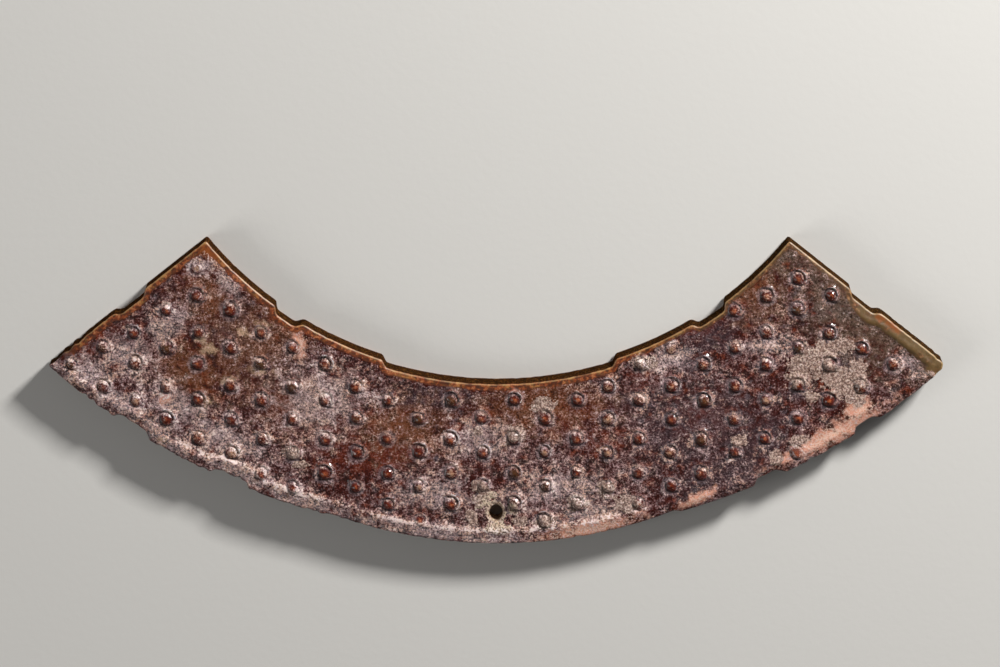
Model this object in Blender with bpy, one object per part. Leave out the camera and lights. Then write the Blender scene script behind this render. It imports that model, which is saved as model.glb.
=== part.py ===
"""Jade huang: an arc-shaped pendant plate, sawn and carved from one piece of jade. Metres, +Z up.

It lies on its plainer back with the carved front up. +X runs from end to end, and +Y points from
the deepest point of the arc towards its open side. The origin is under the middle of the plate.
"""

import math

import bmesh
import bpy
from mathutils import Matrix, Vector

MM = 0.001

# The arc: both edges and the two straight ends are laid out round one centre.
HALF_SPREAD = math.radians(51.4)  # from the centre line to each end
INNER_RADIUS = 56.8 * MM
BAND_WIDTH = 24.7 * MM  # at the centre line
END_WIDTH = 29.6 * MM  # the band widens towards its ends
OUTER_RADIUS = INNER_RADIUS + BAND_WIDTH
SIDE_RADIUS = 99.1 * MM  # the outer edge beside the middle panel is struck flatter
PANEL_RADIUS = 72.2 * MM  # and the middle panel rounder
CORNER_RADIUS = 1.2 * MM  # the outer corner at +X is worn round

# Steps and notches cut into the edges, as angles from the centre line.
INNER_PANEL = (-18.1, 18.6)
INNER_NOTCHES = ((-36.6, -31.5), (31.4, 37.6))
INNER_STEP = 1.0 * MM
OUTER_PANEL = (-19.0, 19.9)
OUTER_NOTCHES = ((-43.2, -38.9), (-31.8, -27.2), (28.1, 31.6), (39.8, 42.9))
OUTER_STEP = 0.95 * MM
STEP_RUN = 0.9 * MM  # each step is worn to a slope this long
END_NOTCH_START = 10.9 * MM  # along each end, from the inner radius
END_NOTCH_LENGTH = 5.8 * MM
END_STEP = 0.8 * MM

# The section: a bevelled rim rises from a thin edge to a ridge, and the field lies lower.
THICKNESS = 5.0 * MM  # from the ridge at the back to the ridge at the front
EDGE_DROP = 0.4 * MM  # from each ridge down to the edge
RIM_WIDTH = 1.2 * MM
FRONT_RIDGE_WIDTH = 0.3 * MM
BACK_RIDGE_WIDTH = 0.9 * MM  # ground flat, so the plate lies steady on it
FIELD_SLOPE = 0.5 * MM
FRONT_FIELD_DROP = 0.35 * MM
BACK_FIELD_DROP = 0.3 * MM

# The grains: comma-shaped bosses in staggered rows.
COLUMN_STEP = 4.74 * MM
COLUMN_SHIFT = -2.1 * MM  # of the first column from the centre line
ROW_STEP = 5.35 * MM
FIRST_ROW = 3.5 * MM  # above the lowest point of the outer edge
# How far each half row was set off its even place, from the lowest up, because they were spaced by eye.
ROW_DRIFT_MM = (0, -0.1, 0, -0.65, -0.1, -0.65, -0.25, 0, -0.55, 0.2, 0, -0.3, 0.5, 0, 0, -1.0)
NUB_RADIUS = 0.95 * MM
NUB_SHOULDER_RADIUS = 0.6 * MM
NUB_HEIGHT = 0.5 * MM  # above the front field
NUB_CROWN = 0.12 * MM  # the part of that height above the shoulder
NUB_SIDES = 6
BACK_NUB_SIDES = 6
TAIL_RADIUS = 1.42 * MM  # from the middle of the nub to the middle of its curled tail
TAIL_DEPTH = 0.32 * MM  # half of the tail's thickness
TAIL_START = 150  # degrees from +X, where the tail leaves the field
TAIL_END = -50
TAIL_POINTS = 5
GRAIN_TO_EDGE = 1.9 * MM  # no grain's middle lies nearer to the outline

# The hole that the plate hung by.
HOLE_RADIUS = 1.05 * MM
HOLE_TO_EDGE = 5.0 * MM  # from the middle of the hole to the outer edge
HOLE_TO_NUB = 0.8 * MM
HOLE_SIDES = 20

ARC_STEP = 5.0 * MM  # longest straight piece of a curved edge
CORNER_POINTS = 4
SHARP_ANGLE = math.radians(35)
SUNK = 0.25 * MM  # how deep the grains reach into the plate, so that they fuse
WELD = 0.002 * MM

JADE_COLOUR = (0.16, 0.065, 0.045, 1.0)
JADE_ROUGHNESS = 0.35


def reach_of_circle(angle, centre_up, radius):
    """How far an arc lies from the plate's centre at this angle, when its own centre lies higher up."""
    across = centre_up * math.sin(angle)
    return math.sqrt(radius**2 - across**2) - centre_up * math.cos(angle)


def recess(place, start, end, run):
    """1 between start and end and 0 outside, with a slope of this run at each end."""
    if not start < place < end:
        return 0.0
    return min((place - start) / run, (end - place) / run, 1.0)


def recess_breaks(start, end, run):
    return [start, start + run, end - run, end]


def radians(span):
    return tuple(math.radians(degrees) for degrees in span)


def inner_reach(angle):
    run = STEP_RUN / INNER_RADIUS
    cut = max(recess(angle, *radians(span), run) for span in (INNER_PANEL, *INNER_NOTCHES))
    return INNER_RADIUS - INNER_STEP * (1 - cut)


def outer_reach(angle):
    end = INNER_RADIUS + END_WIDTH
    run = STEP_RUN / OUTER_RADIUS
    half_chord = end * math.sin(HALF_SPREAD)
    side_centre = math.sqrt(SIDE_RADIUS**2 - half_chord**2) - end * math.cos(HALF_SPREAD)
    side = reach_of_circle(angle, side_centre, SIDE_RADIUS)
    panel = reach_of_circle(angle, PANEL_RADIUS - OUTER_RADIUS, PANEL_RADIUS)
    in_panel = recess(angle, *radians(OUTER_PANEL), run)
    cut = max(recess(angle, *radians(span), run) for span in OUTER_NOTCHES)
    return side * (1 - in_panel) + panel * in_panel - OUTER_STEP * cut


def stations(spans, radius):
    """Angles along an edge between its corners: every end of a step, and points between for the curve."""
    breaks = [-HALF_SPREAD, HALF_SPREAD]
    for span in spans:
        breaks += recess_breaks(*radians(span), STEP_RUN / radius)
    breaks.sort()
    angles = []
    for low, high in zip(breaks, breaks[1:]):
        count = math.ceil((high - low) * radius / ARC_STEP)
        angles += [low + (high - low) * i / count for i in range(count)]
    return angles[1:]


def at(angle, reach):
    """The point at this angle from the centre line, with the arc's centre as origin."""
    return Vector((reach * math.sin(angle), -reach * math.cos(angle)))


def corner(side, reach, inset):
    """Where an edge meets an end, with both moved inwards by the inset."""
    base = reach(side * HALF_SPREAD) + (inset if reach is inner_reach else -inset)
    return at(side * (HALF_SPREAD - math.asin(inset / base)), base)


def end_points(side, inset):
    """The corners of the notch in one end, from the outer edge inwards."""
    along = at(side * HALF_SPREAD, 1)
    inward = Vector((along.y, -along.x)) * side
    start = INNER_RADIUS + END_NOTCH_START
    end = start + END_NOTCH_LENGTH
    points = []
    for place in reversed(recess_breaks(start, end, STEP_RUN)):
        depth = inset + END_STEP * recess(place, start, end, STEP_RUN)
        points.append(along * place + inward * depth)
    return points


def worn_corner(inset):
    """The rounded outer corner at +X, from the outer edge to the end."""
    if inset >= CORNER_RADIUS:
        return [corner(1, outer_reach, inset)] * CORNER_POINTS
    middle = corner(1, outer_reach, CORNER_RADIUS)
    last = HALF_SPREAD
    first = last - math.pi / 2
    points = []
    for i in range(CORNER_POINTS):
        turn = first + (last - first) * i / (CORNER_POINTS - 1)
        points.append(middle + Vector((math.cos(turn), math.sin(turn))) * (CORNER_RADIUS - inset))
    return points


def outline(inset):
    """The closed outline moved inwards by the inset, anticlockwise, always with the same number of points."""
    outer_angles = stations((OUTER_PANEL, *OUTER_NOTCHES), OUTER_RADIUS)
    inner_angles = stations((INNER_PANEL, *INNER_NOTCHES), INNER_RADIUS)
    outer = [at(angle, outer_reach(angle) - inset) for angle in outer_angles]
    inner = [at(angle, inner_reach(angle) + inset) for angle in inner_angles]
    points = [corner(-1, outer_reach, inset), *outer, *worn_corner(inset)]
    points += [*end_points(1, inset), corner(1, inner_reach, inset), *reversed(inner)]
    points += [corner(-1, inner_reach, inset), *reversed(end_points(-1, inset))]
    return points


def middle_of(points):
    """The middle of the points' box."""
    xs = [p.x for p in points]
    ys = [p.y for p in points]
    return Vector(((min(xs) + max(xs)) / 2, (min(ys) + max(ys)) / 2))


EDGE = outline(0)
ARC_CENTRE = -middle_of(EDGE)
FRONT_FIELD = THICKNESS - FRONT_FIELD_DROP
LOWEST = ARC_CENTRE.y - OUTER_RADIUS
HOLE_PLACE = Vector((0, LOWEST + HOLE_TO_EDGE))


def distance_to_edge(point):
    nearest = math.inf
    for a, b in zip(EDGE, EDGE[1:] + EDGE[:1]):
        a, b = a + ARC_CENTRE, b + ARC_CENTRE
        share = (point - a).dot(b - a) / (b - a).length_squared
        nearest = min(nearest, (point - a - (b - a) * min(max(share, 0), 1)).length)
    return nearest


def inside_band(point):
    from_centre = point - ARC_CENTRE
    angle = math.atan2(from_centre.x, -from_centre.y)
    if abs(angle) > HALF_SPREAD:
        return False
    return inner_reach(angle) < from_centre.length < outer_reach(angle)


def grain_places():
    """The middle of each grain: staggered rows, kept off the rim and the hole."""
    half_width = (INNER_RADIUS + END_WIDTH) * math.sin(HALF_SPREAD)
    reach = math.ceil(half_width / COLUMN_STEP)
    top = max(p.y for p in EDGE) + ARC_CENTRE.y
    rows = math.ceil((top - LOWEST) / (ROW_STEP / 2))
    places = []
    for row in range(rows):
        y = LOWEST + FIRST_ROW + row * ROW_STEP / 2 + ROW_DRIFT_MM[row % len(ROW_DRIFT_MM)] * MM
        for column in range(-reach, reach + 1):
            point = Vector((COLUMN_SHIFT + column * COLUMN_STEP, y))
            off_hole = (point - HOLE_PLACE).length > HOLE_RADIUS + HOLE_TO_NUB + NUB_RADIUS
            staggered = (row + column) % 2 == 0
            if staggered and off_hole and inside_band(point) and distance_to_edge(point) > GRAIN_TO_EDGE:
                places.append(point)
    return places


def collection(name, shown=True):
    made = bpy.data.collections.new(name)
    made.hide_render = not shown
    bpy.context.scene.collection.children.link(made)
    return made


def add_object(name, mesh, where):
    made = bpy.data.objects.new(name, mesh)
    where.objects.link(made)
    return made


def mesh_of(name, shape):
    mesh = bpy.data.meshes.new(name)
    shape.to_mesh(mesh)
    shape.free()
    mesh.shade_smooth()
    mesh.set_sharp_from_angle(angle=SHARP_ANGLE)
    return mesh


def plate_mesh():
    """The plate without grains or hole, lofted through rings from the back field to the front field."""
    front_ridge = RIM_WIDTH + FRONT_RIDGE_WIDTH
    back_ridge = RIM_WIDTH + BACK_RIDGE_WIDTH
    sections = (
        (back_ridge + FIELD_SLOPE, BACK_FIELD_DROP),
        (back_ridge, 0),
        (RIM_WIDTH, 0),
        (0, EDGE_DROP),
        (0, THICKNESS - EDGE_DROP),
        (RIM_WIDTH, THICKNESS),
        (front_ridge, THICKNESS),
        (front_ridge + FIELD_SLOPE, FRONT_FIELD),
    )
    shape = bmesh.new()
    rings = []
    for inset, height in sections:
        points = [point + ARC_CENTRE for point in outline(inset)]
        rings.append([shape.verts.new((point.x, point.y, height)) for point in points])
    for lower, upper in zip(rings, rings[1:]):
        for i in range(len(lower)):
            shape.faces.new((lower[i - 1], lower[i], upper[i], upper[i - 1]))
    shape.faces.new(reversed(rings[0]))
    shape.faces.new(rings[-1])
    bmesh.ops.remove_doubles(shape, verts=shape.verts, dist=WELD)
    return mesh_of("plate", shape)


def add_front_nubs(shape, places):
    """A round nub with a low crown at each place."""
    body = NUB_HEIGHT - NUB_CROWN + SUNK
    for place in places:
        middle = place.to_3d() + Vector((0, 0, FRONT_FIELD - SUNK + body / 2))
        made = bmesh.ops.create_cone(
            shape, cap_ends=True, segments=NUB_SIDES, radius1=NUB_RADIUS, radius2=NUB_SHOULDER_RADIUS,
            depth=body, matrix=Matrix.Translation(middle),
        )
        faces = {face for vert in made["verts"] for face in vert.link_faces}
        top = max(faces, key=lambda face: face.calc_center_median().z)
        bmesh.ops.poke(shape, faces=[top], offset=NUB_CROWN)


def add_back_nubs(shape, places):
    """Lower nubs on the back, ground flat and level with its ridge, so that the plate lies on them too."""
    depth = BACK_FIELD_DROP + SUNK
    for place in places:
        middle = place.to_3d() + Vector((0, 0, depth / 2))
        bmesh.ops.create_cone(
            shape, cap_ends=True, segments=BACK_NUB_SIDES, radius1=NUB_SHOULDER_RADIUS, radius2=NUB_RADIUS,
            depth=depth, matrix=Matrix.Translation(middle),
        )


def tails_mesh(places, where):
    """The curled tail of every front grain: a wire bent round the nub, with its ends sunk in the field."""
    wire = bpy.data.curves.new("tails", "CURVE")
    wire.dimensions = "3D"
    wire.twist_mode = "Z_UP"
    wire.bevel_depth = TAIL_DEPTH
    wire.bevel_resolution = 0
    wire.use_fill_caps = True
    for place in places:
        spline = wire.splines.new("POLY")
        spline.points.add(TAIL_POINTS - 1)
        for i, point in enumerate(spline.points):
            along = i / (TAIL_POINTS - 1)
            turn = math.radians(TAIL_START + (TAIL_END - TAIL_START) * along)
            at_end = i in (0, TAIL_POINTS - 1)
            height = FRONT_FIELD - (SUNK + TAIL_DEPTH if at_end else TAIL_DEPTH * 0.2)
            point.co = (
                place.x + TAIL_RADIUS * math.cos(turn), place.y + TAIL_RADIUS * math.sin(turn), height, 1,
            )
    source = add_object("tails", wire, where)
    graph = bpy.context.evaluated_depsgraph_get()
    mesh = bpy.data.meshes.new_from_object(source.evaluated_get(graph))
    bpy.data.objects.remove(source)
    return mesh


def grains_mesh(places, where):
    shape = bmesh.new()
    shape.from_mesh(tails_mesh(places, where))
    bmesh.ops.remove_doubles(shape, verts=shape.verts, dist=WELD)
    add_front_nubs(shape, places)
    add_back_nubs(shape, places)
    bmesh.ops.recalc_face_normals(shape, faces=shape.faces)
    return mesh_of("grains", shape)


def hole_mesh():
    shape = bmesh.new()
    middle = HOLE_PLACE.to_3d() + Vector((0, 0, THICKNESS / 2))
    bmesh.ops.create_cone(
        shape, cap_ends=True, segments=HOLE_SIDES, radius1=HOLE_RADIUS, radius2=HOLE_RADIUS,
        depth=THICKNESS * 2, matrix=Matrix.Translation(middle),
    )
    return mesh_of("hole", shape)


def helper(name, mesh, where):
    made = add_object(name, mesh, where)
    made.hide_render = True
    made.display_type = "WIRE"
    return made


def add_boolean(target, other, operation):
    modifier = target.modifiers.new(other.name, "BOOLEAN")
    modifier.object = other
    modifier.operation = operation
    modifier.solver = "EXACT"


def jade():
    """Old jade, brown from the ground it lay in, with a waxy polish."""
    made = bpy.data.materials.new("jade")
    made.use_nodes = True
    shader = made.node_tree.nodes["Principled BSDF"]
    shader.inputs["Base Color"].default_value = JADE_COLOUR
    shader.inputs["Roughness"].default_value = JADE_ROUGHNESS
    shader.inputs["Metallic"].default_value = 0.0
    return made


def main():
    for old in list(bpy.data.objects):
        bpy.data.objects.remove(old)
    parts = collection("jade_huang")
    cutters = collection("cutters", shown=False)
    places = grain_places()
    plate = add_object("jade_huang", plate_mesh(), parts)
    add_boolean(plate, helper("grains", grains_mesh(places, cutters), cutters), "UNION")
    add_boolean(plate, helper("hole", hole_mesh(), cutters), "DIFFERENCE")
    plate.data.materials.append(jade())


main()
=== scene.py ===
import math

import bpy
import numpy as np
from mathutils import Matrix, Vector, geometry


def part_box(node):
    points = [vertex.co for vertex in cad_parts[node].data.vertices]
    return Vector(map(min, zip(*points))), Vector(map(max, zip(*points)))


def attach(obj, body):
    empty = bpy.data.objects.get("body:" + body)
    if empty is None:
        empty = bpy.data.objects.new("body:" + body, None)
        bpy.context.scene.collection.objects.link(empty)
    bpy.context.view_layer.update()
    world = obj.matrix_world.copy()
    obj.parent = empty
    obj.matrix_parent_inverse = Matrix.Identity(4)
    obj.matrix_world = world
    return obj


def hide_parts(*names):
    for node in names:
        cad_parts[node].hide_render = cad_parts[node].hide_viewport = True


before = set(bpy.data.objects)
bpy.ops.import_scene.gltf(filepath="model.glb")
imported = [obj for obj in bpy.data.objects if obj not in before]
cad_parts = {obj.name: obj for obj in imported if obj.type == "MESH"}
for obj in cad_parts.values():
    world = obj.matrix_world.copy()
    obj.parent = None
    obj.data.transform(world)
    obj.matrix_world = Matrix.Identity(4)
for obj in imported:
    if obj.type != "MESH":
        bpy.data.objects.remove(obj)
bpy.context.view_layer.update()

# The looks of the jade huang, lying on its back on a pale floor. One dense mesh stands for the plate.
# Its outline is worked out from the sizes it was cut to, its rim from the distance to the edge, and its
# grains by geometry nodes. Plans are in millimetres, and the finished piece is in metres.

MM = 0.001
SEED = 7

# The arc, laid out round one centre, with the steps and notches as angles from the centre line.
HALF_SPREAD = math.radians(51.4)
INNER_RADIUS = 56.8
OUTER_RADIUS = 81.5
END_RADIUS = 86.4
SIDE_RADIUS = 99.1
PANEL_RADIUS = 72.2
INNER_RECESSES = ((-36.6, -31.5), (-18.1, 18.6), (31.4, 37.6))
INNER_STEP = 1.0
OUTER_PANEL = (-19.0, 19.9)
OUTER_NOTCHES = ((-43.2, -38.9), (-31.8, -27.2), (28.1, 31.6), (39.8, 42.9))
OUTER_STEP = 0.95
STEP_RUN = 0.9
END_NOTCH = (67.7, 73.5)
END_STEP = 0.8
LOWEST_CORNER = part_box("jade_huang")[0] / MM
ARC_CENTRE = (LOWEST_CORNER[0] + END_RADIUS * math.sin(HALF_SPREAD), LOWEST_CORNER[1] + OUTER_RADIUS)

# The section, as distances from the edge and heights.
FRONT_PROFILE = ((0, 4.6), (1.2, 5.0), (1.5, 5.0), (2.0, 4.65), (9, 4.65))
WORN_PROFILE = ((0, 4.55), (1.15, 4.84), (1.6, 4.84), (3.2, 4.65), (9, 4.65))
BACK_PROFILE = ((0, 0.4), (1.2, 0.0), (2.1, 0.0), (2.6, 0.3), (9, 0.3))
PROFILE_SOFTNESS = 0.08
WALL_HEIGHTS = (4.25, 3.7, 2.5, 1.3, 0.7)
WALL_ROUGHNESS = (0.07, 0.02)
MIDDLE_HEIGHT = 2.5

# The crisp rim starts between these distances from the arc's centre, and is wider between these angles.
CRISP_RIM = (70, 76)
CRISP_RIM_TO_END = 2.5
WIDER_RIM = 0.6
WIDER_RIM_SPAN = (-34, 16)
LEDGE_SPAN = (-40, 20)
SPAN_RUN = 8

# How much the edges have lost, and over what width.
FRONT_WEAR = (0.12, 0.09)
FRONT_HOLE_WEAR = (0.3, 0.22)
BACK_WEAR = (0.1, 0.1)
BACK_HOLE_WEAR = (0.25, 0.22)

# Wear along the outline: soft corners, the softest at the right, and how ragged the edge is in each part.
CORNER_SOFTNESS = 0.2
SOFTEST_CORNER = 0.9
SOFTEST_CORNER_REACH = 2.0
RAGGED_SIZE = 0.28
RAGGED_EVERYWHERE = 0.03
RAGGED_LOWER_LEFT = 0.09
RAGGED_LOWER_RIGHT = 0.04
LOWER_LEFT = (-8, -33)
LOWER_RIGHT = (30, 42)
OUTER_SIDE = (INNER_RADIUS + OUTER_RADIUS) / 2 + 6
CHIP_SOFTNESS = 0.08

# The grains, in staggered rows.
ROWS = 18
COLUMNS_EACH_SIDE = 15
COLUMN_STEP = 4.74
COLUMN_SHIFT = -2.1
ROW_STEP = 5.35
FIRST_ROW = 3.5
ROW_DRIFT = (0, -0.1, 0, -0.65, -0.1, -0.65, -0.25, 0, -0.55, 0.2, 0, -0.3, 0.5, 0, 0, -1.0)
GRAIN_TO_EDGE = 1.6
BACK_GRAIN_TO_EDGE = 1.9
GRAIN_REACH = 1.95

# How grains differ by chance: shift, turn in rounds, size, wear and curl. A few are worn low.
GRAIN_SHIFT = 0.15
GRAIN_TURN = 1 / 6
GRAIN_TURN_SPREAD = 0.04
GRAIN_SIZES = (0.88, 1.1)
GRAIN_WEAR = (0.7, 1.0)
GRAIN_CURL = (0.5, 1.0)
WORN_GRAINS = ((-44.8, 19.3, 0.25), (26.3, 6.9, 0.3), (-11.6, -19.8, 0.2))

# The grain nodes' sizes. A height below zero is cut in, or stands out of the back.
GRAIN_NODE_SIZES = {
    "Nub Short Side": 0.78, "Nub Long Side": 1.4, "Nub Height": 0.38, "Back Height": -0.28,
    "Bead Radius": 1.25, "Bead Height": 0.36,
    "Tail Start": 0.7, "Tail End": 1.6, "Tail Inside": -0.2, "Tail Outside": 0.5, "Tail Height": 0.48,
    "Groove Place": -0.3, "Groove Width": 0.25, "Groove Depth": -0.14,
    "Wobble": 0.4, "Crust Height": 0.12, "Pit Depth": -0.12,
}

# The hole that it hung by, worn longer towards the edge.
HOLE_RADIUS = 1.05
HOLE_WORN = 1.22
HOLE = (0.0, LOWEST_CORNER[1] + 4.77)
HOLE_CLEAR = 2.8

# How finely the mesh follows the shape.
FINE = 0.05
EDGE_STEP = 0.31
RIM_RINGS = (0.06, 0.15, 0.33, 0.6, 0.9, 1.15, 1.3, 1.5, 1.75, 2.0)
RIM_RINGS_BY_GRAINS = 0.65
GRAIN_STEP = 0.175
FIELD_STEP = 0.38
BACK_RINGS = (0.3, 1.2, 2.1, 2.6)
BACK_STEP = 0.66
HOLE_POINTS = 40
HOLE_RINGS = (1.1, 1.2, 1.35, 1.55, 1.8)
HOLE_RINGS_REACH = 2.0
BACK_HOLE_POINTS = 20
BACK_HOLE_RING = 1.25
BACK_HOLE_REACH = 1.6
GRID_REACH = (68, 24)

# Chips broken out of the edge: place, half width and depth.
CHIPS = (
    (-61.7, -0.3, 0.5, 0.35), (-60.6, -1.3, 0.4, 0.3), (-58.7, -3.1, 0.6, 0.3), (-56.9, -3.2, 0.5, 0.25),
    (-43.9, -11.7, 0.6, 0.3), (-50.6, -8.8, 0.4, 0.2), (50.4, -7.9, 0.4, 0.3), (47.6, -10.2, 0.4, 0.2),
    (-56.6, 12.6, 0.4, 0.3), (57.4, -4.9, 0.4, 0.2), (12.4, -22.4, 0.5, 0.15), (-20.5, -20.6, 0.5, 0.2),
)

# Where the stone, its crust and its stains differ. Each patch is an ellipse: its middle, half length, half
# width and turn in degrees. Slate is a grey film, and ember is the orange stone near the ends.
PATCHES = {
    "crust": (
        (46.0, 4.0, 2.1, 3.0, -25), (48.4, 4.6, 2.7, 2.5, -20), (51.6, 1.9, 3.1, 2.1, -35),
        (53.8, -0.5, 1.9, 1.2, -25), (48.8, 7.6, 0.8, 0.7, 0), (51.7, 7.4, 1.9, 1.1, -5),
        (54.4, 4.1, 1.3, 1.2, 0), (55.0, 2.1, 0.9, 1.4, 0), (47.5, -0.6, 1.3, 0.8, -10),
        (36.6, -7.3, 1.3, 0.9, 0), (42.3, -9.9, 1.0, 1.1, 0), (45.4, -7.4, 1.4, 0.8, 15),
        (-1.9, -16.5, 1.5, 1.3, -40), (-0.9, -17.9, 0.9, 0.8, 0), (2.6, -17.7, 0.7, 1.3, 20),
        (-3.7, -19.2, 0.8, 1.5, 15), (3.7, -19.9, 1.1, 0.7, 0), (-0.6, -15.8, 0.9, 0.6, 0),
        (0.3, -21.0, 1.9, 0.8, 0), (7.3, -20, 1.8, 1.0, 20), (-2.4, -14.6, 1.2, 1.1, 0),
        (12.2, -16.9, 1.5, 1.2, 0), (16.5, -14.8, 1.3, 1.2, 0), (19.8, -17.1, 1.8, 1.3, 0),
        (-2.7, -5.9, 0.8, 0.6, 0), (7.2, -1.6, 1.8, 1.2, 0), (3, -6.2, 1.5, 1.2, 0),
        (-29.5, -11.1, 1.3, 0.6, 0), (-30.8, -8.9, 1.3, 1.2, 0), (22.3, 4.8, 1.8, 1.2, 0),
        (65.4, 3.1, 0.8, 0.35, -45),
    ),
    "tan": (
        (-42.6, 6.8, 1.6, 1.2, 0), (-43.4, -1.3, 1.3, 0.8, 0), (-37.9, 9.4, 1.2, 0.8, 0),
        (-35.1, 10.2, 1.5, 1.1, 0), (-39.6, 2.1, 2.1, 0.9, 20), (-35.5, 3.6, 2.4, 1.2, -10),
        (-44.4, 8.5, 1.3, 0.9, 0), (-50.4, -7.1, 1.2, 0.6, 0),
    ),
    "salmon": (
        (50.1, -6.6, 9.3, 1.5, 28), (14.1, -20.9, 7.8, 1.3, 12), (30.6, -16.3, 3, 0.8, 25),
        (54.6, -2.5, 2.7, 1.8, 20), (-49.6, -1, 1.5, 0.8, 0), (-29.4, 7.4, 1.2, 1.8, 0),
    ),
    "slate": (
        (-34.2, 4.8, 5.1, 3.3, 0), (-10.7, -0.8, 7.5, 1.8, 0), (32.5, 8.5, 4.2, 2.1, 20),
        (50.4, 12.9, 4.5, 1.3, 0), (40.4, -7.1, 4.5, 3, 60), (38.1, 12.8, 1.8, 2.1, 0),
        (-38.4, 9, 4.5, 3.8, 0), (52.4, 4.8, 1.5, 1.5, 0), (36.6, -13.2, 3.6, 1.5, 25),
        (30, -6, 9, 6, 0), (34, -12, 8, 3, 25), (29.1, 4.4, 2.1, 1.3, 0),
        (45.6, -0.2, 2.1, 0.9, 0), (21.6, -1, 3.6, 1.8, 0),
    ),
    "ochre": (
        (-36, 7, 9, 8, 30), (-43, 14.5, 5, 6, 0), (-29, -1, 8, 6, 0), (39, 15, 4.5, 5, 0),
        (6, -2.5, 12, 5, 8), (-46, 3, 7, 5, -30), (-14, -5, 9, 5, -10),
    ),
    "ember": ((59.6, 10.3, 1.9, 0.8, -38), (57.6, 11.6, 1.2, 0.7, -38), (-43, 21.5, 3, 1.2, -40)),
    "olive": (
        (55.4, 14.3, 12, 8.2, -35), (64.3, 5.1, 3.9, 3.3, 0), (42.6, 21.2, 4.5, 2.7, 0),
    ),
    "russet": (
        (-30, -3.3, 3.9, 3, 0), (-15.1, -9.4, 6.3, 2.1, 10), (-24.9, -7.1, 3, 4.5, 0),
        (9.6, -3.3, 4.5, 2.7, 0), (-3.9, -5.6, 3.6, 2.1, 0), (-17.4, -4, 3, 1.8, 0),
        (30.6, -4.8, 3, 3.9, 40), (17.1, -7.1, 3.6, 2.1, 0), (-42.9, 18.1, 3.9, 2.4, 0),
        (30.6, 9.7, 2.1, 1.2, 30), (23.1, 2.8, 2.4, 1.3, 20), (-60.9, 6.7, 4.5, 1.2, 40),
    ),
    "frost": (
        (-61.6, 2.8, 4.8, 2.7, -20), (-56.4, -1.3, 5.4, 1.9, -32), (-49.6, -7.1, 5.4, 1.5, -33),
        (-39.1, -11.7, 6.8, 1.5, -27), (-55.5, 6, 3.9, 3, 0), (-10.7, -20.4, 13.5, 0.8, -6),
        (-48.4, -1.5, 5, 2.6, -25), (-29.4, -16.3, 7.5, 1.3, -22), (26.1, 5.1, 3.9, 1.8, 20),
        (-2.4, -7.1, 4.5, 3, 0), (-49.6, 10.5, 3.9, 2.1, 38), (41.1, 7.4, 3, 1.8, 0),
        (9.6, -14.8, 7.5, 3, 0), (-44, 19.6, 2.2, 1.3, 0), (-40, 16.5, 3, 1.3, -50),
        (62, 4.5, 2.5, 1.2, -40), (-10, -15.5, 6, 2.5, -5), (14, -18.5, 5, 2, 12),
        (-27, -1, 6, 5, 0), (-41, -7, 6, 2.5, -25), (-8, -21.5, 12, 1.5, -6),
    ),
}

# The stone's colours turn dull towards the right and olive at the right end, between these places in x.
DIM_ZONE = (12, 37)
TIP_ZONE = (52, 55)

# The other marks that the mesh carries for its colours: by place, and by the nearest grain.
PLACE_MARKS = ("edge", "hole", "honey", "wall", "ledge", "tip", "dim")
GRAIN_MARKS = ("halo", "bead", "flank", "tail", "groove", "tint")

# The stone's noises: name, size in millimetres, detail and roughness.
NOISES = (
    ("broad", 7.0, 2, 0.5), ("cloud", 2.6, 4, 0.6), ("clump", 1.6, 5, 0.65), ("tone", 1.2, 3, 0.6),
    ("lump", 1 / 0.9, 4, 0.65), ("grit", 0.6, 4, 0.75), ("fleck", 0.3, 3, 0.75),
)

# Frost is thick where its sum is high, and pits lie where theirs is low. Frost is laid thicker on the flank
# of each nub that faces the key lamp, a painted highlight, and thinner in the grooves, a painted shade. The
# painted glints, sparse white specks for light caught on the stone, lie where their sum is high.
# Each starts from one noise and adds a share of every other mark that is named.
COVERS = {
    "frosted": ("grit", {
        "clump": 0.9, "fleck": 0.9, "broad": 0.4, "frost": 0.22, "ledge": 0.26, "flank": 0.17, "bead": -0.13,
        "groove": -0.12, "tail": -0.14, "halo": 0.06, "band": -0.42, "slate": 0.04, "olive": -0.09,
    }),
    "pitted": ("fleck", {"band": 1.0, "salmon": 0.15}),
    "painted_glints": ("fleck", {"band": -0.5, "wall": -0.5}),
}
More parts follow.
